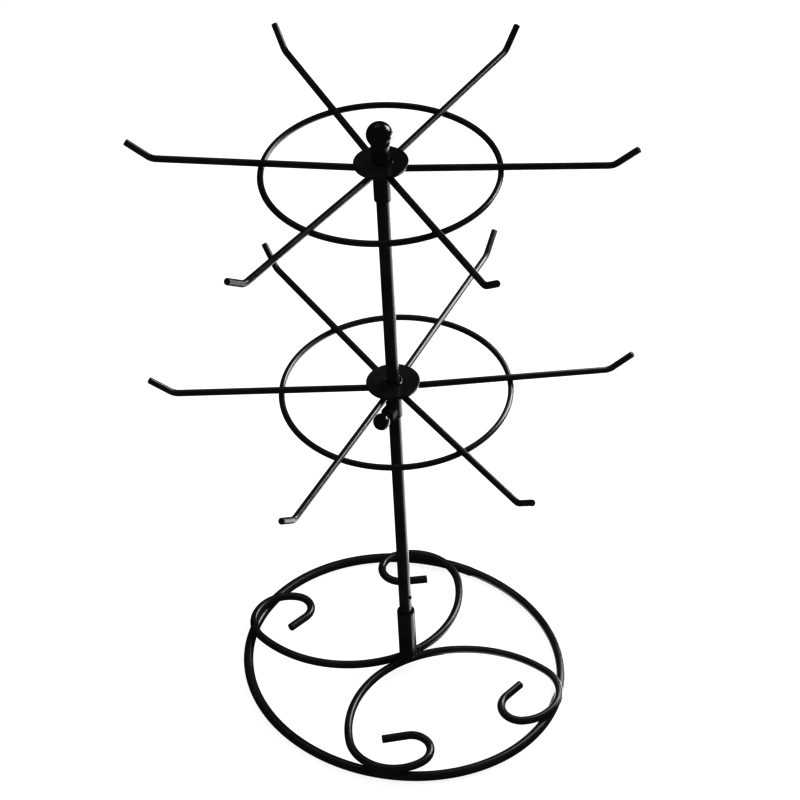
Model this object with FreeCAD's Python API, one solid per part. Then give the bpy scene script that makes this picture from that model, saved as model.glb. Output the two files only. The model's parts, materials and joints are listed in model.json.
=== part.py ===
import FreeCAD, Part
import math
import os

# A two-tier revolving wire mug tree, in mm. +Z is up along the pole's axis and
# the origin is on the floor under the pole. Bearings are in plan, from +X.

# Each hoop is a slight oval: half its length, half its width, the bearing of its
# length, and how far its middle is shifted along X

# Base
RING_WIRE = 6.0
BASE_HOOP = (106.0, 94.5, -41.0, -3.4)
SCROLL_WIRE = 5.0
SCROLL_REACH_END = 16.0
SCROLL_BACK_END = 13.5
REAR_HEADING = 24.5
REAR_REACH = ((63.5, 73.5), (32.5, 97.0), (13.0, 168.5))
REAR_BACK = ((79.0, 76.5), (22.5, 148.5), (11.5, 117.5))
FRONT_HEADING = 22.0
FRONT_REACH = ((66.0, 74.5), (29.5, 115.5), (12.5, 155.5))
FRONT_BACK = ((80.5, 66.5), (25.0, 133.0), (13.1, 138.0))
WELD_SINK = 0.2

# Socket
SOCKET_OD = 11.2
SOCKET_BORE = 9.2
SOCKET_TOP = 50.0
SEAT_THICKNESS = 3.0
BUSH_TOP = 44.0
RUNNING_GAP = 0.08
REST_GAP = 0.3
WELD_BEAD_RADIUS = 1.7
WELD_BEAD_BEARINGS = (23.0, 113.0, 203.0, 293.0)

# Pole
POLE_OD = 7.7
POLE_BORE = 5.5
POLE_BOTTOM = 16.0
POLE_TOP = 398.5
FOOT_LENGTH = 10.0
STOP_HEIGHT = 63.5
STOP_RADIUS = 1.3
STOP_BEARING = -35.0

# Tiers
ARM_WIRE = 3.8
ARM_DROP = 4.9
ARM_SLOPE = 0.9
ARM_TIP = 17.6
ARM_TIP_RISE = 37.0
ARM_BEND_RADIUS = 8.0
TIER_WIRE = 3.5
HUB_OD = 10.0
HUB_LENGTH = 26.0
DISC_THICKNESS = 2.0
EDGE_ROUND = 0.4
UPPER_TOP = 399.5
UPPER_DISC_OD = 31.0
UPPER_HOOP = (67.7, 66.4, -37.0, -0.5)
LOWER_TOP = 241.1
LOWER_DISC_OD = 32.0
LOWER_HOOP = (69.9, 68.2, -76.0, 1.6)

# Each arm's bearing and the distance from the pole's axis to its bend
UPPER_ARMS = (
    (-5.4, 129.0), (55.0, 133.0), (113.4, 134.5),
    (171.7, 130.0), (233.6, 126.5), (294.1, 125.5),
)
LOWER_ARMS = (
    (1.3, 129.0), (62.7, 136.5), (120.1, 139.0),
    (178.8, 130.5), (242.5, 129.0), (301.1, 129.5),
)

# Finial
FINIAL_BALL_RADIUS = 7.5
FINIAL_NECK_RADIUS = 5.2
FINIAL_WAIST_RADIUS = 6.0
FINIAL_BALL_HEIGHT = 417.3
STUD_RADIUS = 2.65
STUD_BOTTOM = 385.0
STUD_TOP = 407.0

# Thumb screw
THUMB_HEIGHT = 220.5
THUMB_BEARING = -122.0
SCREW_RADIUS = 2.0
SCREW_END = 13.0
NUT_ACROSS_FLATS = 8.0
NUT_FACE = 8.8
THUMB_BALL_RADIUS = 5.3
THUMB_BALL_REACH = 15.0

UP = FreeCAD.Vector(0, 0, 1)
AXIS = FreeCAD.Vector(0, 0, 0)
SCROLL_HEIGHT = RING_WIRE + SCROLL_WIRE / 2 - WELD_SINK
SOCKET_BOTTOM = SCROLL_HEIGHT + SCROLL_WIRE / 2 - WELD_SINK
SEAT_TOP = SCROLL_HEIGHT + SCROLL_WIRE / 2 + SEAT_THICKNESS


def point(x, y, z):
    return FreeCAD.Vector(x, y, z)


def flat(bearing):
    """Unit vector in plan at a bearing in degrees from +X."""
    angle = math.radians(bearing)
    return FreeCAD.Vector(math.cos(angle), math.sin(angle), 0)


def cylinder(radius, low, high):
    return Part.makeCylinder(radius, high - low, point(0, 0, low))


def tube(outer, inner, low, high):
    return cylinder(outer, low, high).cut(cylinder(inner, low, high))


def rounded(solid, radius, height):
    """Round the outer circular edges of the given radius at one height."""
    edges = []
    for edge in solid.Edges:
        circle = isinstance(edge.Curve, Part.Circle)
        if circle and abs(edge.Curve.Radius - radius) < 1e-6 and abs(edge.Curve.Center.z - height) < 1e-6:
            edges.append(edge)
    return solid.makeFillet(EDGE_ROUND, edges)


def sweep(edges, radius, start, heading):
    """Round wire of one radius along a smooth chain of edges."""
    section = Part.Wire(Part.makeCircle(radius, start, heading))
    return Part.Wire(edges).makePipe(Part.Face(section))


def hoop(oval, wire, height):
    half_length, half_width, bearing, shift = oval
    ellipse = Part.Ellipse(AXIS, half_length, half_width)
    ring = sweep([ellipse.toShape()], wire / 2, point(half_length, 0, 0), point(0, 1, 0))
    ring.rotate(AXIS, UP, bearing)
    ring.translate(point(shift, 0, height))
    return ring


def rounded_end(wire, end):
    """Round the rim of a wire's cut end."""
    rims = [edge for edge in wire.Edges if edge.CenterOfMass.distanceToPoint(end) < 1e-3]
    return wire.makeFillet(EDGE_ROUND, rims)


def scroll_branch(start, heading, side, arcs, end):
    """Tangent arcs then a straight end. side is 1 for left turns, -1 for right."""
    edges = []
    for radius, sweep_angle in arcs:
        centre = start + flat(heading + 90 * side) * radius
        first = heading - 90 * side
        middle = centre + flat(first + side * sweep_angle / 2) * radius
        finish = centre + flat(first + side * sweep_angle) * radius
        edges.append(Part.Arc(start, middle, finish).toShape())
        start = finish
        heading = heading + side * sweep_angle
    edges.append(Part.makeLine(start, start + flat(heading) * end))
    return edges


def scroll(heading, reach, back, turn):
    """One wire from its touching point beside the pole, curling both ways."""
    touch = flat(heading + 90) * (SCROLL_WIRE / 2 - WELD_SINK / 2)
    ahead = scroll_branch(touch, heading, 1, reach, SCROLL_REACH_END)
    behind = scroll_branch(touch, heading + 180, -1, back, SCROLL_BACK_END)
    halves = []
    for edges in (ahead, behind):
        half = sweep(edges, SCROLL_WIRE / 2, touch, flat(heading))
        halves.append(rounded_end(half, edges[-1].Vertexes[-1].Point))
    wire = halves[0].fuse(halves[1]).removeSplitter()
    wire.rotate(AXIS, UP, turn)
    wire.translate(point(0, 0, SCROLL_HEIGHT))
    return wire


def socket_tube():
    socket = tube(SOCKET_OD / 2, SOCKET_BORE / 2, SOCKET_BOTTOM, SOCKET_TOP)
    return rounded(socket, SOCKET_OD / 2, SOCKET_TOP)


def pivot_seat():
    return cylinder(SOCKET_BORE / 2, SEAT_TOP - SEAT_THICKNESS, SEAT_TOP)


def socket_bush():
    return tube(SOCKET_BORE / 2, POLE_OD / 2 + RUNNING_GAP, SEAT_TOP, BUSH_TOP)


def socket_welds():
    inside = cylinder(SOCKET_OD / 2 - WELD_SINK, 0, SOCKET_TOP)
    beads = []
    for bearing in WELD_BEAD_BEARINGS:
        bead = Part.makeSphere(WELD_BEAD_RADIUS, point(SOCKET_OD / 2, 0, SOCKET_BOTTOM)).cut(inside)
        bead.rotate(AXIS, UP, bearing)
        beads.append(bead)
    return Part.makeCompound(beads)


def pole_tube():
    return tube(POLE_OD / 2, POLE_BORE / 2, POLE_BOTTOM, POLE_TOP)


def pole_foot():
    """Plug in the pole's lower end with a domed tip over the seat."""
    tip = SEAT_TOP + REST_GAP
    shank = cylinder(POLE_BORE / 2, POLE_BOTTOM, POLE_BOTTOM + FOOT_LENGTH)
    rise = POLE_BOTTOM - tip
    dome_radius = ((POLE_BORE / 2) ** 2 + rise ** 2) / (2 * rise)
    dome = Part.makeSphere(dome_radius, point(0, 0, tip + dome_radius))
    cap = dome.common(cylinder(POLE_BORE / 2, tip - 1, POLE_BOTTOM))
    return shank.fuse(cap).removeSplitter()


def stop_bead():
    wall = POLE_OD / 2 - WELD_SINK
    bead = Part.makeSphere(STOP_RADIUS, point(wall, 0, STOP_HEIGHT)).cut(cylinder(wall, 0, POLE_TOP))
    bead.rotate(AXIS, UP, STOP_BEARING)
    return bead


def hub_disc(top, diameter):
    disc = tube(diameter / 2, HUB_OD / 2, top - DISC_THICKNESS, top)
    disc = rounded(disc, diameter / 2, top)
    return rounded(disc, diameter / 2, top - DISC_THICKNESS)


def hub_sleeve(top, bore):
    sleeve = tube(HUB_OD / 2, bore, top - HUB_LENGTH, top)
    return rounded(sleeve, HUB_OD / 2, top - HUB_LENGTH)


def arm(top, bearing, vertex):
    """Straight wire coped to the sleeve and rising a little, then a short upturned tip."""
    rise = math.radians(ARM_TIP_RISE)
    setback = ARM_BEND_RADIUS * math.tan(rise / 2)
    start = point(HUB_OD / 4, 0, 0)
    bend_in = point(vertex - setback, 0, 0)
    centre = bend_in + point(0, 0, ARM_BEND_RADIUS)
    bend_mid = centre + point(math.sin(rise / 2), 0, -math.cos(rise / 2)) * ARM_BEND_RADIUS
    bend_out = centre + point(math.sin(rise), 0, -math.cos(rise)) * ARM_BEND_RADIUS
    end = bend_out + point(math.cos(rise), 0, math.sin(rise)) * (ARM_TIP - setback)
    run = Part.makeLine(start, bend_in)
    bend = Part.Arc(bend_in, bend_mid, bend_out).toShape()
    tip = Part.makeLine(bend_out, end)
    wire = sweep([run, bend, tip], ARM_WIRE / 2, start, point(1, 0, 0))
    wire = rounded_end(wire, end)
    wire.rotate(AXIS, point(0, 1, 0), -ARM_SLOPE)
    wire.rotate(AXIS, UP, bearing)
    wire.translate(point(0, 0, top - ARM_DROP))
    return wire.cut(cylinder(HUB_OD / 2, top - HUB_LENGTH, top))


def tier_ring(top, oval):
    """Hoop welded to the undersides of the arms."""
    arms = top - ARM_DROP + oval[1] * math.tan(math.radians(ARM_SLOPE))
    return hoop(oval, TIER_WIRE, arms - ARM_WIRE / 2 - TIER_WIRE / 2 + WELD_SINK)


def finial_knob():
    """Ball on a waisted neck, standing clear of the upper disc."""
    low = UPPER_TOP + REST_GAP
    ball = FINIAL_BALL_HEIGHT
    reach = FINIAL_BALL_RADIUS + FINIAL_WAIST_RADIUS
    across = FINIAL_NECK_RADIUS + FINIAL_WAIST_RADIUS
    drop = math.sqrt(reach ** 2 - across ** 2)
    waist = point(across, 0, ball - drop)
    join = point(across, 0, -drop) * (FINIAL_BALL_RADIUS / reach) + point(0, 0, ball)
    swing = math.atan2(drop, across) / 2
    waist_mid = waist + point(-math.cos(swing), 0, math.sin(swing)) * FINIAL_WAIST_RADIUS
    neck_top = point(FINIAL_NECK_RADIUS, 0, ball - drop)
    outline = [
        Part.makeLine(point(0, 0, low), point(FINIAL_NECK_RADIUS, 0, low)),
        Part.makeLine(point(FINIAL_NECK_RADIUS, 0, low), neck_top),
        Part.Arc(neck_top, waist_mid, join).toShape(),
        Part.Arc(join, point(FINIAL_BALL_RADIUS, 0, ball), point(0, 0, ball + FINIAL_BALL_RADIUS)).toShape(),
        Part.makeLine(point(0, 0, ball + FINIAL_BALL_RADIUS), point(0, 0, low)),
    ]
    knob = Part.Face(Part.Wire(outline)).revolve(AXIS, UP, 360)
    return knob.cut(finial_stud())


def finial_stud():
    return cylinder(STUD_RADIUS, STUD_BOTTOM, STUD_TOP)


def radial_cylinder(radius, near, far):
    """Cylinder along the thumb screw's axis between two distances from the pole's axis."""
    start = flat(THUMB_BEARING) * near + point(0, 0, THUMB_HEIGHT)
    return Part.makeCylinder(radius, far - near, start, flat(THUMB_BEARING))


def lower_sleeve():
    sleeve = hub_sleeve(LOWER_TOP, POLE_OD / 2 + RUNNING_GAP)
    return sleeve.cut(radial_cylinder(SCREW_RADIUS + RUNNING_GAP, 0, HUB_OD))


def thumb_nut():
    corner = NUT_ACROSS_FLATS / math.sqrt(3)
    corners = [flat(60 * step) * corner for step in range(7)]
    prism = Part.Face(Part.makePolygon(corners)).extrude(UP * NUT_FACE)
    prism.rotate(AXIS, point(0, 1, 0), 90)
    prism.rotate(AXIS, UP, THUMB_BEARING)
    prism.translate(point(0, 0, THUMB_HEIGHT))
    nut = prism.cut(cylinder(HUB_OD / 2, LOWER_TOP - HUB_LENGTH, LOWER_TOP))
    return nut.cut(radial_cylinder(SCREW_RADIUS + RUNNING_GAP, 0, 2 * NUT_FACE))


def thumb_screw():
    return radial_cylinder(SCREW_RADIUS, POLE_OD / 2 + REST_GAP, SCREW_END)


def thumb_knob():
    centre = flat(THUMB_BEARING) * THUMB_BALL_REACH + point(0, 0, THUMB_HEIGHT)
    return Part.makeSphere(THUMB_BALL_RADIUS, centre).cut(thumb_screw())


def save(node, shape):
    shape.exportStep("parts/" + node + ".step")


def save_tier(name, top, diameter, oval, arms):
    save(name + "_disc", hub_disc(top, diameter))
    save(name + "_ring", tier_ring(top, oval))
    for number, (bearing, vertex) in enumerate(arms, start=1):
        save(name + "_arm_" + str(number), arm(top, bearing, vertex))


os.makedirs("parts", exist_ok=True)
save("base_ring", hoop(BASE_HOOP, RING_WIRE, RING_WIRE / 2))
save("scroll_rear", scroll(REAR_HEADING, REAR_REACH, REAR_BACK, 0))
save("scroll_front", scroll(FRONT_HEADING, FRONT_REACH, FRONT_BACK, 180))
save("socket_tube", socket_tube())
save("socket_welds", socket_welds())
save("pivot_seat", pivot_seat())
save("socket_bush", socket_bush())
save("pole_tube", pole_tube())
save("pole_foot", pole_foot())
save("stop_bead", stop_bead())
save("upper_sleeve", hub_sleeve(UPPER_TOP, POLE_OD / 2))
save_tier("upper", UPPER_TOP, UPPER_DISC_OD, UPPER_HOOP, UPPER_ARMS)
save("finial_knob", finial_knob())
save("finial_stud", finial_stud())
save("lower_sleeve", lower_sleeve())
save_tier("lower", LOWER_TOP, LOWER_DISC_OD, LOWER_HOOP, LOWER_ARMS)
save("thumb_nut", thumb_nut())
save("thumb_screw", thumb_screw())
save("thumb_knob", thumb_knob())
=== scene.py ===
import json
import math

import bmesh
import bpy
from mathutils import Matrix, Quaternion, Vector, noise
from mathutils.bvhtree import BVHTree


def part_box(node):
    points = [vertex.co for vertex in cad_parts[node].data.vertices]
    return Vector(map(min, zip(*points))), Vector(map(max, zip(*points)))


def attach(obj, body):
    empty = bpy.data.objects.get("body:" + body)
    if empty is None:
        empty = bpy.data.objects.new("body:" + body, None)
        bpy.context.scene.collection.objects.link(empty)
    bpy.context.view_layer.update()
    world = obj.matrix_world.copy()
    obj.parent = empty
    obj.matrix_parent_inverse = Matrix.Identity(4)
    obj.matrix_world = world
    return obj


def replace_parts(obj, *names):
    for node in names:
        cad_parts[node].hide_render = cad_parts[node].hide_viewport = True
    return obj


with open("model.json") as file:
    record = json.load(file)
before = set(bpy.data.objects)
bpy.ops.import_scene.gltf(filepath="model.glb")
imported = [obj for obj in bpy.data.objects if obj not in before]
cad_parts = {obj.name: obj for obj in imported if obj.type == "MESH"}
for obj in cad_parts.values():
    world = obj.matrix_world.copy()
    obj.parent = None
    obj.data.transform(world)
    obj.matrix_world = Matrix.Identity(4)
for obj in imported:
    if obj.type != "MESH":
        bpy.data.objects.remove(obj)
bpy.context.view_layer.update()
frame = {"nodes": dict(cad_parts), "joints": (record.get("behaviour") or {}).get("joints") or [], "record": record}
NODES = frame["nodes"]
RECORD = frame["record"]
MM = 0.001
TIERS = {"upper": "spindle", "lower": "lower_tier"}
UP = Vector((0, 0, 1))


# ---------------------------------------------------------------- materials

def new_material(name):
    material = bpy.data.materials.new(name)
    material.use_nodes = True
    tree = material.node_tree
    tree.nodes.clear()
    output = tree.nodes.new("ShaderNodeOutputMaterial")
    shader = tree.nodes.new("ShaderNodeBsdfPrincipled")
    tree.links.new(shader.outputs["BSDF"], output.inputs["Surface"])
    return material, tree, shader


def coordinates(tree, stretch=(1.0, 1.0, 1.0)):
    """Object coordinates, in metres, scaled along the axes."""
    source = tree.nodes.new("ShaderNodeTexCoord")
    mapping = tree.nodes.new("ShaderNodeMapping")
    mapping.inputs["Scale"].default_value = stretch
    tree.links.new(source.outputs["Object"], mapping.inputs["Vector"])
    return mapping.outputs["Vector"]


def noise_texture(tree, vector, scale, detail=2.0, rough=0.5):
    node = tree.nodes.new("ShaderNodeTexNoise")
    node.inputs["Scale"].default_value = scale
    node.inputs["Detail"].default_value = detail
    node.inputs["Roughness"].default_value = rough
    tree.links.new(vector, node.inputs["Vector"])
    return node.outputs["Fac"]


def span(tree, value, low, high, at_low, at_high):
    """Map value from low..high to at_low..at_high, clamped."""
    node = tree.nodes.new("ShaderNodeMapRange")
    node.inputs["From Min"].default_value = low
    node.inputs["From Max"].default_value = high
    node.inputs["To Min"].default_value = at_low
    node.inputs["To Max"].default_value = at_high
    tree.links.new(value, node.inputs["Value"])
    return node.outputs["Result"]


def combine(tree, operation, first, second):
    node = tree.nodes.new("ShaderNodeMath")
    node.operation = operation
    tree.links.new(first, node.inputs[0])
    tree.links.new(second, node.inputs[1])
    return node.outputs["Value"]


def plan_radius(tree):
    """Distance from the pole's axis, in metres."""
    node = tree.nodes.new("ShaderNodeVectorMath")
    node.operation = "LENGTH"
    tree.links.new(coordinates(tree, (1.0, 1.0, 0.0)), node.inputs[0])
    return node.outputs["Value"]


def mix_colours(tree, factor, first, second):
    """Mix two colours; each is either a socket or a tuple."""
    node = tree.nodes.new("ShaderNodeMix")
    node.data_type = "RGBA"
    for socket, colour in ((node.inputs["A"], first), (node.inputs["B"], second)):
        if isinstance(colour, tuple):
            socket.default_value = (*colour, 1.0)
        else:
            tree.links.new(colour, socket)
    tree.links.new(factor, node.inputs["Factor"])
    return node.outputs["Result"]


def add_bump(tree, shader, layers):
    """Chain bump nodes from (height, depth in metres) pairs."""
    normal = None
    for height, depth in layers:
        node = tree.nodes.new("ShaderNodeBump")
        node.inputs["Strength"].default_value = 1.0
        node.inputs["Distance"].default_value = depth
        tree.links.new(height, node.inputs["Height"])
        if normal is not None:
            tree.links.new(normal, node.inputs["Normal"])
        normal = node.outputs["Normal"]
    tree.links.new(normal, shader.inputs["Normal"])


def enamel(name, scratches=(1.0, 1.0, 1.0), scratch_amount=0.0, rub_from=None, gloss=0.4):
    """Gloss black enamel on steel, with orange peel, dull patches and specks.

    It is scratched by scratch_amount, and rubbed further out than rub_from, in metres.
    """
    material, tree, shader = new_material(name)
    plain = coordinates(tree)
    patches = noise_texture(tree, plain, 55.0, 3.0)
    specks = noise_texture(tree, plain, 1500.0, 2.0, 0.7)
    peel = noise_texture(tree, plain, 1000.0, 1.0)
    waves = noise_texture(tree, plain, 160.0, 2.0)
    lines = noise_texture(tree, coordinates(tree, scratches), 900.0, 3.0, 0.6)
    scratch = span(tree, lines, 0.62, 0.72, 0.0, scratch_amount)
    dull = span(tree, patches, 0.35, 0.75, 0.0, 1.0)
    speck = span(tree, specks, 0.69, 0.76, 0.0, 0.6)
    colour = mix_colours(tree, dull, (0.014, 0.014, 0.0148), (0.026, 0.026, 0.0272))
    colour = mix_colours(tree, speck, colour, (0.07, 0.07, 0.072))
    colour = mix_colours(tree, scratch, colour, (0.055, 0.055, 0.057))
    rough = span(tree, patches, 0.3, 0.75, 0.2, 0.3)
    rough = combine(tree, "ADD", rough, span(tree, scratch, 0.0, 1.0, 0.0, 0.3))
    if rub_from is not None:
        rub_noise = noise_texture(tree, plain, 420.0, 4.0, 0.65)
        rubbed = combine(
            tree,
            "MULTIPLY",
            span(tree, plan_radius(tree), rub_from, rub_from + 0.02, 0.0, 1.0),
            span(tree, rub_noise, 0.5, 0.68, 0.0, 1.0),
        )
        rub_colour = span(tree, rubbed, 0.0, 1.0, 0.0, 0.4)
        colour = mix_colours(tree, rub_colour, colour, (0.06, 0.06, 0.062))
        rough = combine(tree, "ADD", rough, span(tree, rubbed, 0.0, 1.0, 0.0, 0.14))
    tree.links.new(colour, shader.inputs["Base Color"])
    tree.links.new(rough, shader.inputs["Roughness"])
    shader.inputs["Specular IOR Level"].default_value = gloss
    add_bump(tree, shader, [(waves, 0.00010), (peel, 0.000025)])
    return material


def plastic(name):
    """Glossy moulded black plastic, a little hazed, with faint flow marks."""
    material, tree, shader = new_material(name)
    haze = noise_texture(tree, coordinates(tree), 220.0, 3.0)
    flow = noise_texture(tree, coordinates(tree, (1.0, 1.0, 5.0)), 90.0, 2.0)
    fine = noise_texture(tree, coordinates(tree), 1800.0, 2.0)
    colour = mix_colours(tree, haze, (0.010, 0.010, 0.010), (0.020, 0.020, 0.020))
    tree.links.new(colour, shader.inputs["Base Color"])
    tree.links.new(span(tree, haze, 0.3, 0.7, 0.1, 0.18), shader.inputs["Roughness"])
    shader.inputs["Specular IOR Level"].default_value = 0.45
    add_bump(tree, shader, [(flow, 0.00005), (fine, 0.000006)])
    return material


def dark_steel(name):
    """Blackened steel with turning lines and a patchy tone."""
    material, tree, shader = new_material(name)
    lines = noise_texture(tree, coordinates(tree, (1.0, 1.0, 14.0)), 500.0, 3.0)
    stain = noise_texture(tree, coordinates(tree), 240.0, 3.0)
    colour = mix_colours(tree, stain, (0.035, 0.035, 0.037), (0.11, 0.108, 0.105))
    tree.links.new(colour, shader.inputs["Base Color"])
    tree.links.new(span(tree, stain, 0.3, 0.7, 0.28, 0.45), shader.inputs["Roughness"])
    shader.inputs["Metallic"].default_value = 1.0
    add_bump(tree, shader, [(lines, 0.00002)])
    return material


def nylon(name):
    """Matt black nylon with a fine grain."""
    material, tree, shader = new_material(name)
    grain = noise_texture(tree, coordinates(tree), 900.0, 3.0)
    colour = mix_colours(tree, grain, (0.012, 0.012, 0.012), (0.03, 0.03, 0.03))
    tree.links.new(colour, shader.inputs["Base Color"])
    tree.links.new(span(tree, grain, 0.3, 0.7, 0.5, 0.65), shader.inputs["Roughness"])
    add_bump(tree, shader, [(grain, 0.00002)])
    return material


ENAMEL = enamel("wire_enamel")
ARM_ENAMEL = enamel("arm_enamel", rub_from=0.118)
POLE_ENAMEL = enamel("pole_enamel", scratches=(1.0, 1.0, 0.02), scratch_amount=0.5)
NUT_ENAMEL = enamel("nut_enamel", gloss=0.04)
PLASTIC = plastic("knob_plastic")
DARK_STEEL = dark_steel("blackened_steel")
NYLON = nylon("bush_nylon")
SLOT_MATERIALS = {
    "black_enamel": ENAMEL,
    "black_plastic": PLASTIC,
    "dark_steel": DARK_STEEL,
    "nylon": NYLON,
}


def dress(obj, material):
    obj.data.materials.clear()
    obj.data.materials.append(material)
    for polygon in obj.data.polygons:
        polygon.material_index = 0


def dress_nodes():
    for part in RECORD["subparts"]:
        material = SLOT_MATERIALS[part["material_slot"]]
        if "_arm_" in part["node"]:
            material = ARM_ENAMEL
        if part["node"] == "pole_tube":
            material = POLE_ENAMEL
        dress(NODES[part["node"]], material)


# ---------------------------------------------------------------- mesh helpers

SHARP_EDGE = math.radians(38)


def add_piece(name, bm, body, material):
    """Turn a bmesh into a smooth-shaded piece that rides on a CAD body."""
    bmesh.ops.recalc_face_normals(bm, faces=bm.faces)
    mesh = bpy.data.meshes.new(name)
    bm.to_mesh(mesh)
    bm.free()
    obj = bpy.data.objects.new(name, mesh)
    bpy.context.scene.collection.objects.link(obj)
    mesh.materials.append(material)
    mesh.shade_smooth()
    mesh.set_sharp_from_angle(angle=SHARP_EDGE)
    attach(obj, body)
    return obj


def ring_of(bm, place, points):
    """New vertices at points given in the frame of a matrix."""
    return [bm.verts.new(place @ Vector(point)) for point in points]


def bridge(bm, first, second):
    """Band of faces between two closed loops of equal length."""
    count = len(first)
    for i in range(count):
        j = (i + 1) % count
        bm.faces.new((first[i], first[j], second[j], second[i]))


def polar(radius, angle):
    """Plan point at a radius and an angle in radians."""
    return radius * math.cos(angle), radius * math.sin(angle)


def cap(bm, tip, rim):
    """Fan of faces from a tip to a closed loop."""
    for i in range(len(rim)):
        bm.faces.new((tip, rim[i], rim[(i + 1) % len(rim)]))


def lathe(bm, place, profile, segments):
    """Solid of revolution about place's Z axis.

    The profile is a list of (radius, height), and starts and ends on the axis.
    """
    rings = []
    for radius, height in profile:
        if radius == 0:
            rings.append(ring_of(bm, place, [(0, 0, height)]))
            continue
        angles = [math.tau * step / segments for step in range(segments)]
        rings.append(ring_of(bm, place, [(*polar(radius, angle), height) for angle in angles]))
    for first, second in zip(rings, rings[1:]):
        if len(first) == 1:
            cap(bm, first[0], second)
        elif len(second) == 1:
            cap(bm, second[0], first)
        else:
            bridge(bm, first, second)


def arc(centre, radius, start, end, steps):
    """Points of a circular arc in the profile plane, angles in degrees."""
    points = []
    for step in range(steps + 1):
        across, along_axis = polar(radius, math.radians(start + (end - start) * step / steps))
        points.append((centre[0] + across, centre[1] + along_axis))
    return points


def axis_frame(origin, direction):
    """Frame whose Z axis runs along direction from origin, and whose X axis points up."""
    z_axis = Vector(direction).normalized()
    y_axis = z_axis.cross(UP).normalized()
    x_axis = y_axis.cross(z_axis)
    turn = Matrix((x_axis, y_axis, z_axis)).transposed().to_4x4()
    return Matrix.Translation(origin) @ turn


# ---------------------------------------------------------------- weld metal

# Bearing in degrees, then distance from the axis, lift and size in mm, of each bead
# round the socket
SOCKET_BEADS = (
    (30, 7.4, 1.2, 2.1),
    (113, 5.4, 0.6, 1.5),
    (203, 5.4, 0.6, 1.5),
    (293, 5.3, 0.6, 1.3),
)
SOCKET_REACH_PAST_BEAD = 1.3 * MM
SOCKET_BLEND = 2.2 * MM

# Weld ring on each disc: its inner radius, round the finial's neck above and round the pole
# below; then its half height and half width in mm, as plain size, share of the lumps and share
# of the heap; and the heap's bearing and spread in degrees
HUB_WELD_INNER = {"upper": 5.55 * MM, "lower": 4.2 * MM}
HUB_HALF_HEIGHT = (0.75, 0.55, 1.5)
HUB_HALF_WIDTH = (0.8, 0.25, 0.35)
HUB_SINK = 0.15 * MM
HEAP_BEARING = 62
HEAP_SPREAD = 17
LUMPS_ROUND = 2.6
LUMPS_SHIFT_PER_METRE = 40

# Reach and blend of each kind of weld skin, and the least gap between two places of contact
RING_SKIN = (4.2 * MM, 1.5 * MM)
ROOT_SKIN = (4.6 * MM, 2.2 * MM)
BASE_SKIN = (6.0 * MM, 2.0 * MM)
SEAM_SKIN = (4.0 * MM, 1.6 * MM)
CONTACT_GAP = 9 * MM
SEAM_GAP = 4 * MM
RING_WELD_SINK = 0.1 * MM

# Where an arm's root weld sits, and how far out the arm's end at the sleeve is looked for
ROOT_DISTANCE = 5.3 * MM
ROOT_ZONE = 6.5 * MM

# A skin stands SKIN_LIFT proud at its centre and drops by SKIN_DROP towards its reach. Its
# vertices are found by halving the reach SEARCH_STEPS times, and never come nearer its centre
# than SKIN_LEAST.
SKIN_LIFT = 0.08 * MM
SKIN_DROP = 0.3 * MM
SKIN_LEAST = 0.02 * MM
SEARCH_STEPS = 9
RIPPLE_SHARE = 0.12
RIPPLES_PER_METRE = 900
TREES = {}


def tree_of(node):
    """Search tree over a CAD node's faces, made once."""
    if node not in TREES:
        mesh = NODES[node].data
        points = [vertex.co.copy() for vertex in mesh.vertices]
        faces = [polygon.vertices[:] for polygon in mesh.polygons]
        TREES[node] = BVHTree.FromPolygons(points, faces)
    return TREES[node]


def signed_distance(tree, point):
    """Distance to the tree's surface, negative inside it."""
    location, normal, _, distance = tree.find_nearest(point)
    return distance if (point - location).dot(normal) > 0 else -distance


def smooth_least(values, blend):
    """Smooth minimum of distances: rounds the crotch between two surfaces."""
    least = values[0]
    for value in values[1:]:
        overlap = max(blend - abs(least - value), 0.0) / blend
        least = min(least, value) - overlap * overlap * blend / 4
    return least


def weld_skin(bm, centre, nodes, reach, blend, bead=0.0, detail=3):
    """Closed lump of weld metal around centre, with a rippled ball in it if bead is set.

    It fills the crotch between the nodes and sinks into them further out.
    """
    trees = [tree_of(node) for node in nodes]

    def field(point):
        away = (point - centre).length
        values = [signed_distance(tree, point) for tree in trees]
        if bead > 0:
            ripple = RIPPLE_SHARE * bead * noise.noise(point * RIPPLES_PER_METRE)
            values.append(away - bead - ripple)
        share = min(away / reach, 1.0)
        fade = share * share * (3 - 2 * share)
        return smooth_least(values, blend) + SKIN_DROP * fade - SKIN_LIFT

    made = bmesh.ops.create_icosphere(bm, subdivisions=detail, radius=1.0)
    for vertex in made["verts"]:
        direction = vertex.co.normalized()
        low = 0.0
        high = reach
        for _ in range(SEARCH_STEPS):
            middle = (low + high) / 2
            if field(centre + direction * middle) < 0:
                low = middle
            else:
                high = middle
        vertex.co = centre + direction * max(low, SKIN_LEAST)


def contact_points(first, second, spacing):
    """Middles of the separate places where two nodes meet."""
    mesh = NODES[first].data
    clusters = []
    for index, _ in tree_of(first).overlap(tree_of(second)):
        middle = mesh.polygons[index].center.copy()
        near = [cluster for cluster in clusters if (cluster[0] - middle).length < spacing]
        if near:
            near[0].append(middle)
        else:
            clusters.append([middle])
    return [sum(cluster, Vector()) / len(cluster) for cluster in clusters]


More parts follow.
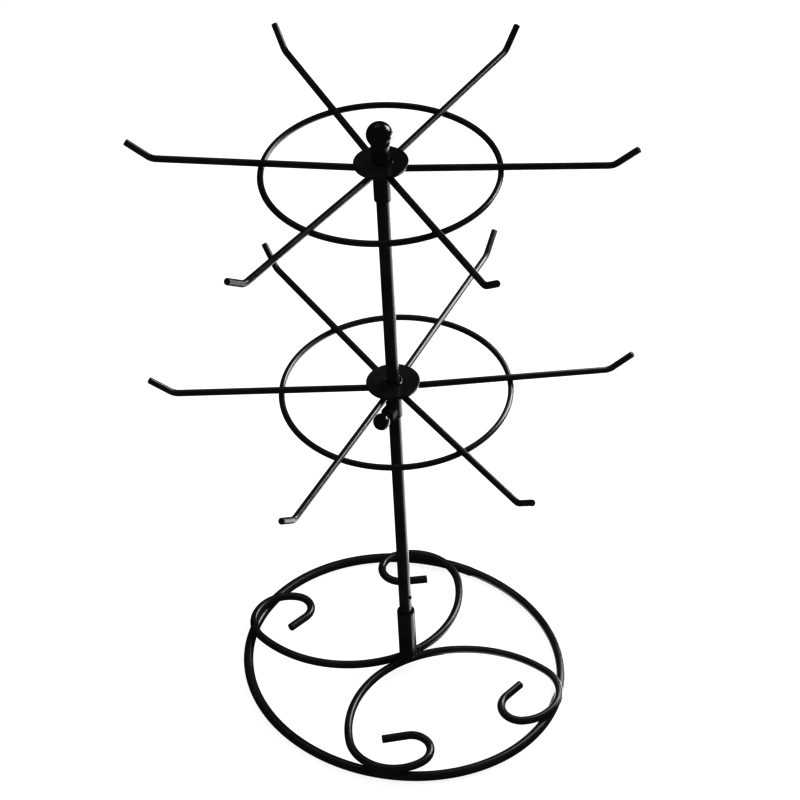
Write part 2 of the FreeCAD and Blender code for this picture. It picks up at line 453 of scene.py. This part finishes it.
def tier_welds(tier, body):
    """Fillets where the arms cross the hoop and where they meet the sleeve."""
    ring = tier + "_ring"
    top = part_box(ring)[1].z
    crossings = bmesh.new()
    roots = bmesh.new()
    for number in range(1, 7):
        arm = f"{tier}_arm_{number}"
        crossing = contact_points(ring, arm, CONTACT_GAP)[0]
        crossing.z = top - RING_WELD_SINK
        weld_skin(crossings, crossing, [arm, ring], *RING_SKIN)
        out = Vector((crossing.x, crossing.y, 0)).normalized()
        vertices = NODES[arm].data.vertices
        heights = [vertex.co.z for vertex in vertices if vertex.co.xy.length < ROOT_ZONE]
        root = out * ROOT_DISTANCE + UP * (min(heights) + max(heights)) / 2
        weld_skin(roots, root, [arm, tier + "_sleeve"], *ROOT_SKIN)
    add_piece(tier + "_ring_welds", crossings, body, ENAMEL)
    add_piece(tier + "_root_welds", roots, body, ENAMEL)


def swell(sizes, lump, heap):
    """Size in metres of the weld ring, from its plain size, its lumps and its heap."""
    plain, by_lump, by_heap = sizes
    return (plain + by_lump * lump + by_heap * heap) * MM


def hub_weld(tier, body, inner):
    """Lumpy ring of weld on the disc, heaped up behind and to the right."""
    disc_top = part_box(tier + "_disc")[1].z
    segments = 96
    sides = 12
    bm = bmesh.new()
    rings = []
    for step in range(segments):
        bearing = math.tau * step / segments
        out = Vector((*polar(1.0, bearing), 0))
        heap = math.exp(-((math.degrees(bearing) - HEAP_BEARING) / HEAP_SPREAD) ** 2)
        lump = noise.noise(out * LUMPS_ROUND + UP * disc_top * LUMPS_SHIFT_PER_METRE)
        height = swell(HUB_HALF_HEIGHT, lump, heap)
        width = swell(HUB_HALF_WIDTH, lump, heap)
        centre = out * (inner + width) + UP * (disc_top - HUB_SINK)
        ring = []
        for side in range(sides):
            across, up = polar(1.0, math.tau * side / sides)
            ring.append(bm.verts.new(centre + out * width * across + UP * height * up))
        rings.append(ring)
    for first, second in zip(rings, rings[1:] + rings[:1]):
        bridge(bm, first, second)
    add_piece(tier + "_hub_weld", bm, body, ENAMEL)


def base_welds():
    """Fillets where the scrolls meet the base hoop, and where they meet each other."""
    bm = bmesh.new()
    for scroll in ("scroll_rear", "scroll_front"):
        for place in contact_points("base_ring", scroll, CONTACT_GAP):
            weld_skin(bm, place, ["base_ring", scroll], *BASE_SKIN)
    add_piece("base_welds", bm, "base", ENAMEL)
    seam = bmesh.new()
    for place in contact_points("scroll_front", "scroll_rear", SEAM_GAP):
        weld_skin(seam, place, ["scroll_front", "scroll_rear"], *SEAM_SKIN)
    add_piece("scroll_seam", seam, "base", ENAMEL)


def socket_beads():
    """Lumpy beads at the foot of the socket, the one on the right run out between the scrolls."""
    bm = bmesh.new()
    low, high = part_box("socket_welds")
    wires = ["socket_tube", "scroll_rear", "scroll_front"]
    for bearing, distance, lift, size in SOCKET_BEADS:
        out = Vector((*polar(1.0, math.radians(bearing)), 0))
        centre = out * distance * MM + UP * ((low.z + high.z) / 2 + lift * MM)
        reach = size * MM + SOCKET_REACH_PAST_BEAD
        weld_skin(bm, centre, wires, reach, SOCKET_BLEND, size * MM, 4)
    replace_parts(add_piece("socket_beads", bm, "base", ENAMEL), "socket_welds")


# ---------------------------------------------------------------- knobs and screw

# All in mm. Bores are a little wider and deeper than what goes into them.
BORE_END_GAP = 0.05
FINIAL_NECK = 5.2
FINIAL_WAIST = 6.0
FINIAL_FOOT_ROUND = 0.5
FINIAL_BORE = 2.7
FINIAL_BORE_CHAMFER = 0.3
FINIAL_BALL_INSET = 0.03
MOULDING_LINE = 0.025
MOULDING_LINE_HALF = 0.12
# Radius, and depth under the top of the ball
GATE_MARK = ((0.6, 0.06), (0.5, 0.16), (0, 0.18))
THUMB_COLLAR = 2.75
THUMB_COLLAR_ROUND = 0.2
THUMB_BORE = 2.05
THUMB_BORE_CHAMFER = 0.25
THUMB_MOUTH = 0.4
THUMB_BALL_INSET = 0.02
THUMB_TIP_INSET = 0.03
SCREW_PITCH = 0.7
SCREW_ROOT = 1.68
SCREW_RIDGE = 0.3
SCREW_TAPER = 0.6
SCREW_TIP_SHARE = 0.72
NUT_BORE = 2.08
NUT_COPE = 0.12
NUT_CHAMFER = 0.35
NUT_CORNER_CUT = 0.15
NUT_CORNER_SLOPE = 0.55
NUT_EDGE_DROP = 0.05


def finial():
    """Ball on a waisted neck with a bore for its stud, a moulding line and a gate mark on top."""
    low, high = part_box("finial_knob")
    bore_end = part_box("finial_stud")[1].z / MM + BORE_END_GAP
    bottom = low.z / MM
    radius = (high.x - low.x) / 2 / MM
    ball = radius - FINIAL_BALL_INSET
    middle = high.z / MM - radius
    top = middle + ball
    # The waist is an arc that touches the neck and the ball
    reach = FINIAL_NECK + FINIAL_WAIST
    drop = math.sqrt((ball + FINIAL_WAIST) ** 2 - reach ** 2)
    meet = math.degrees(math.atan2(-drop, reach))
    line = ball + MOULDING_LINE
    foot = FINIAL_NECK - FINIAL_FOOT_ROUND
    profile = [
        (0, bore_end),
        (FINIAL_BORE, bore_end),
        (FINIAL_BORE, bottom + FINIAL_BORE_CHAMFER),
        (FINIAL_BORE + FINIAL_BORE_CHAMFER, bottom),
        (foot, bottom),
    ]
    profile += arc((foot, bottom + FINIAL_FOOT_ROUND), FINIAL_FOOT_ROUND, -90, 0, 4)
    profile += arc((reach, middle - drop), FINIAL_WAIST, 180, 180 + meet, 10)
    profile += arc((0, middle), ball, meet, -2.0, 16)[1:]
    profile += [(line, middle - MOULDING_LINE_HALF), (line, middle + MOULDING_LINE_HALF)]
    profile += arc((0, middle), ball, 2.0, 84, 22)
    profile += [(across, top - depth) for across, depth in GATE_MARK]
    bm = bmesh.new()
    lathe(bm, Matrix.Scale(MM, 4), profile, 72)
    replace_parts(add_piece("finial_ball", bm, "finial", PLASTIC), "finial_knob")


def thumb_axis():
    """Direction of the thumb screw, and its height in metres."""
    joint = next(j for j in frame["joints"] if j["name"] == "thumb_screw_turn")
    out = Vector(joint["axis"]).normalized()
    height = joint["pos_m"][2]
    return out, height


def along(node, out):
    """Nearest and furthest distance of a node's vertices along a direction, in mm."""
    reaches = [vertex.co.dot(out) / MM for vertex in NODES[node].data.vertices]
    return min(reaches), max(reaches)


def thumb_knob(out, height):
    """Small ball on a collar, bored for the screw."""
    near, far = along("thumb_knob", out)
    radius = (far - near) / 2
    centre = far - radius
    bore_end = along("thumb_screw", out)[1] + BORE_END_GAP
    place = axis_frame(UP * height, out) @ Matrix.Scale(MM, 4)
    start = math.degrees(math.acos(THUMB_COLLAR / radius))
    face = THUMB_COLLAR - THUMB_COLLAR_ROUND
    mouth = near - THUMB_MOUTH
    profile = [
        (0, bore_end),
        (THUMB_BORE, bore_end),
        (THUMB_BORE, mouth + THUMB_BORE_CHAMFER),
        (THUMB_BORE + THUMB_BORE_CHAMFER, mouth),
        (face, mouth),
    ]
    profile += arc((face, near - THUMB_COLLAR_ROUND), THUMB_COLLAR_ROUND, -90, 0, 3)
    profile += arc((0, centre), radius - THUMB_BALL_INSET, -start + 3, 86, 26)
    profile += [(0, centre + radius - THUMB_TIP_INSET)]
    bm = bmesh.new()
    lathe(bm, place, profile, 56)
    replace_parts(add_piece("thumb_ball", bm, "thumb", PLASTIC), "thumb_knob")


def thumb_screw(out, height):
    """Threaded rod with a helical ridge and pointed end."""
    near, far = along("thumb_screw", out)
    place = axis_frame(UP * height, out) @ Matrix.Scale(MM, 4)
    slices = 12
    segments = 28
    count = int((far - near) / SCREW_PITCH * slices)
    bm = bmesh.new()
    rings = []
    for step in range(count + 1):
        distance = near + (far - near) * step / count
        taper = min(1.0, (distance - near) / SCREW_TAPER)
        share = SCREW_TIP_SHARE + (1 - SCREW_TIP_SHARE) * taper
        points = []
        for side in range(segments):
            phase = (distance / SCREW_PITCH - side / segments) % 1.0
            ridge = 1 - abs(2 * phase - 1)
            radius = (SCREW_ROOT + SCREW_RIDGE * ridge) * share
            points.append((*polar(radius, math.tau * side / segments), distance))
        rings.append(ring_of(bm, place, points))
    for first, second in zip(rings, rings[1:]):
        bridge(bm, first, second)
    bm.faces.new(rings[0])
    bm.faces.new(rings[-1])
    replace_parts(add_piece("thumb_thread", bm, "thumb", DARK_STEEL), "thumb_screw")


def thumb_nut(out, height):
    """Chamfered hex nut, coped to the sleeve it is welded to."""
    face = along("thumb_nut", out)[1]
    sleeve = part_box("lower_sleeve")[1].x / MM - NUT_COPE
    low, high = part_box("thumb_nut")
    flat = (high.z - low.z) / 2 / MM * math.cos(math.radians(30))
    chamfer = flat - NUT_CORNER_CUT
    place = axis_frame(UP * height, out) @ Matrix.Scale(MM, 4)
    segments = 72
    # Loops run from the bore's back end round the nut's outside to its mouth. Each is given
    # by its radius, or None for the hexagon, and its distance, or None for the sleeve's wall.
    loops = (
        (NUT_BORE, None),
        (None, None),
        (None, face - NUT_EDGE_DROP),
        (chamfer, face),
        (NUT_BORE + NUT_CHAMFER, face),
        (NUT_BORE, face - NUT_CHAMFER),
    )
    bm = bmesh.new()
    rings = []
    for loop_radius, loop_distance in loops:
        points = []
        for step in range(segments):
            angle = math.tau * step / segments
            turn = (math.degrees(angle) + 30) % 60 - 30
            hexagon = flat / math.cos(math.radians(30 - abs(turn)))
            radius = hexagon if loop_radius is None else loop_radius
            x, y = polar(radius, angle)
            if loop_distance is None:
                distance = math.sqrt(sleeve ** 2 - y ** 2)
            elif loop_radius is None:
                distance = loop_distance - (radius - chamfer) * NUT_CORNER_SLOPE
            else:
                distance = loop_distance
            points.append((x, y, distance))
        rings.append(ring_of(bm, place, points))
    for first, second in zip(rings, rings[1:] + rings[:1]):
        bridge(bm, first, second)
    nut = add_piece("thumb_hex_nut", bm, "lower_tier", NUT_ENAMEL)
    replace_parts(nut, "thumb_nut")


# ---------------------------------------------------------------- setting

# Lens in widths of the picture, angles in degrees, distances in metres. The camera stands off
# from the origin, shifted right and up in its own frame.
LENS_WIDTHS = 3.307
SENSOR = 36.0
CAMERA_DISTANCE = 1.726276
CAMERA_PITCH = 40.0
CAMERA_ROLL = -3.082
AIM_RIGHT = 0.0035
AIM_UP = 0.173
VIEW_GAMMA = 0.6

FLOOR_HALF = 30.0
FLOOR_DARK = (0.10, 0.10, 0.10)
FLOOR_LIGHT = (0.115, 0.115, 0.115)
FLOOR_GLOW = 0.9
WHITE = (1.0, 1.0, 1.0, 1.0)

# Name, place, target, size, power in watts, and turn about the light's own axis in degrees
LIGHTS = (
    ("key_right", (1.3, 0.87, 0.95), (0, 0, 0.2), (1.0, 0.9), 36.0, 0.0),
    ("near_right", (0.19, 0.128, 0.31), (0, 0, 0), (0.22, 0.22), 1.0, 0.0),
    ("top", (-0.4, 0.9, 2.2), (0, 0, 0.2), (1.4, 1.0), 6.0, 0.0),
    # A card just above the floor, which the pole's right side mirrors as a line of light
    ("floor_right", (0.46, 0.24, 0.001), (0.46, 0.24, 1.0), (0.72, 0.72), 7.5, 15.0),
)


def add_camera():
    pitch = math.radians(CAMERA_PITCH)
    roll = math.radians(CAMERA_ROLL)
    forward = Vector((0, math.cos(pitch), -math.sin(pitch)))
    right = Vector((1, 0, 0))
    up = right.cross(forward)
    x_axis = right * math.cos(roll) + up * math.sin(roll)
    y_axis = -right * math.sin(roll) + up * math.cos(roll)
    place = -forward * CAMERA_DISTANCE + right * AIM_RIGHT + up * AIM_UP
    data = bpy.data.cameras.new("camera")
    data.sensor_width = SENSOR
    data.lens = LENS_WIDTHS * SENSOR
    data.clip_end = 20.0
    camera = bpy.data.objects.new("camera", data)
    turn = Matrix((x_axis, y_axis, -forward)).transposed().to_4x4()
    camera.matrix_world = Matrix.Translation(place) @ turn
    bpy.context.scene.collection.objects.link(camera)
    bpy.context.scene.camera = camera


def add_light(name, place, target, size, power, turn):
    data = bpy.data.lights.new(name, "AREA")
    data.shape = "RECTANGLE"
    data.size = size[0]
    data.size_y = size[1]
    data.energy = power
    light = bpy.data.objects.new(name, data)
    light.location = place
    aim = (Vector(target) - Vector(place)).to_track_quat("-Z", "Y")
    light.rotation_euler = (aim @ Quaternion((0, 0, 1), math.radians(turn))).to_euler()
    light.visible_camera = False
    bpy.context.scene.collection.objects.link(light)


def add_world(strength):
    world = bpy.data.worlds.new("studio")
    world.use_nodes = True
    background = world.node_tree.nodes["Background"]
    background.inputs["Color"].default_value = WHITE
    background.inputs["Strength"].default_value = strength
    bpy.context.scene.world = world
    world.cycles_visibility.glossy = False


def add_floor():
    corners = [(x * FLOOR_HALF, y * FLOOR_HALF, 0) for x, y in ((-1, -1), (1, -1), (1, 1), (-1, 1))]
    mesh = bpy.data.meshes.new("floor")
    mesh.from_pydata(corners, [], [(0, 1, 2, 3)])
    floor = bpy.data.objects.new("floor", mesh)
    bpy.context.scene.collection.objects.link(floor)
    material, tree, shader = new_material("floor_paper")
    grain = noise_texture(tree, coordinates(tree), 8.0, 2.0)
    tree.links.new(mix_colours(tree, grain, FLOOR_DARK, FLOOR_LIGHT), shader.inputs["Base Color"])
    shader.inputs["Roughness"].default_value = 0.9
    shader.inputs["Specular IOR Level"].default_value = 0.1
    shader.inputs["Emission Color"].default_value = WHITE
    shader.inputs["Emission Strength"].default_value = FLOOR_GLOW
    mesh.materials.append(material)
    floor.visible_glossy = False


def add_setting():
    add_camera()
    add_world(1.0)
    add_floor()
    for light in LIGHTS:
        add_light(*light)
    view = bpy.context.scene.view_settings
    view.view_transform = "Standard"
    view.look = "None"
    view.gamma = VIEW_GAMMA


# ---------------------------------------------------------------- build

dress_nodes()
for tier_name, tier_body in TIERS.items():
    tier_welds(tier_name, tier_body)
    hub_weld(tier_name, tier_body, HUB_WELD_INNER[tier_name])
base_welds()
socket_beads()
finial()
screw_out, screw_height = thumb_axis()
thumb_knob(screw_out, screw_height)
thumb_screw(screw_out, screw_height)
thumb_nut(screw_out, screw_height)
add_setting()
